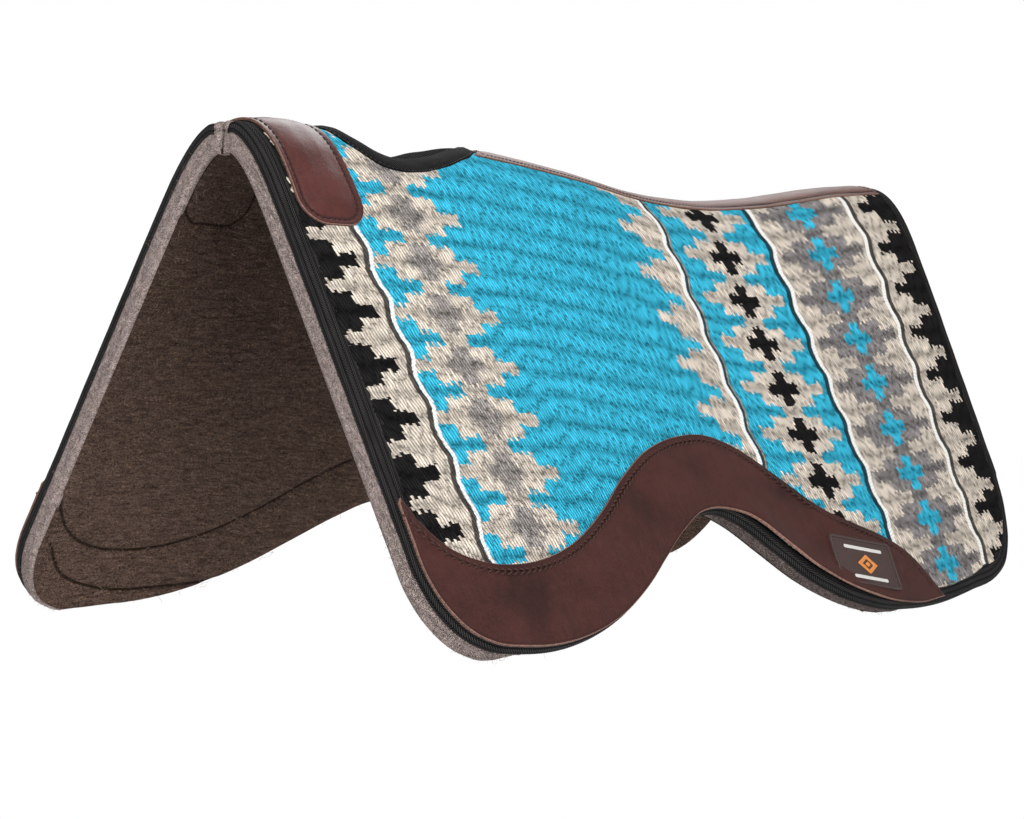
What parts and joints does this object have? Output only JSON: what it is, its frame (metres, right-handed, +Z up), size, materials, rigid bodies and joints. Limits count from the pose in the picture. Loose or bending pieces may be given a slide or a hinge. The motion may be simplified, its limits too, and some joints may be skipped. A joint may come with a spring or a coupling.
{
  "type": "saddle pad",
  "caption": "Contoured western saddle pad: woven blanket on thick felt with wool lining, leather wear edges, spine strip and wither relief; the two halves fold along the spine.",
  "frame": {"origin": "on the floor, midway along and across the pad standing like a tent, where the lobes rest", "axes": "+X from the front (withers) edge to the rear edge, +Z up, +Y towards the horse's right side"},
  "size_m": [0.8262, 0.536, 0.396],
  "materials": {
    "wool_felt": "matte wool felt",
    "lining_wool": "fuzzy dark wool",
    "woven_blanket": "weft-faced woven wool, stepped diamond bands",
    "edge_tape": "herringbone tape",
    "tape_thread": "polyester thread",
    "leather": "semi-gloss dark reddish brown",
    "leather_thread": "waxed thread",
    "binding": "smooth black binding",
    "label_rubber": "moulded matte rubber"
  },
  "bodies": {
    "left_half": {"felt_core_left": "wool_felt", "wool_lining_left": "lining_wool", "blanket_left": "woven_blanket", "edge_tape_left": "edge_tape", "edge_tape_stitching_left": "tape_thread", "wear_leather_left": "leather", "wear_leather_stitching_left": "leather_thread", "label_patch": "label_rubber", "wither_patch": "leather", "wither_patch_stitching": "leather_thread", "cutout_binding": "binding", "cutout_binding_stitching": "tape_thread", "spine_strip": "leather", "spine_strip_stitching": "leather_thread"},
    "right_half": {"felt_core_right": "wool_felt", "wool_lining_right": "lining_wool", "blanket_right": "woven_blanket", "edge_tape_right": "edge_tape", "edge_tape_stitching_right": "tape_thread", "wear_leather_right": "leather", "wear_leather_stitching_right": "leather_thread"}
  },
  "joints": [
    {"name": "spine_fold", "type": "hinge", "parent": "left_half", "child": "right_half", "pos_m": [0, 0, 0.3934], "axis": [1, 0, 0], "range_deg": [-10, 60], "deforming": ["wither_patch", "wither_patch_stitching", "cutout_binding", "cutout_binding_stitching", "spine_strip", "spine_strip_stitching"]}
  ]
}
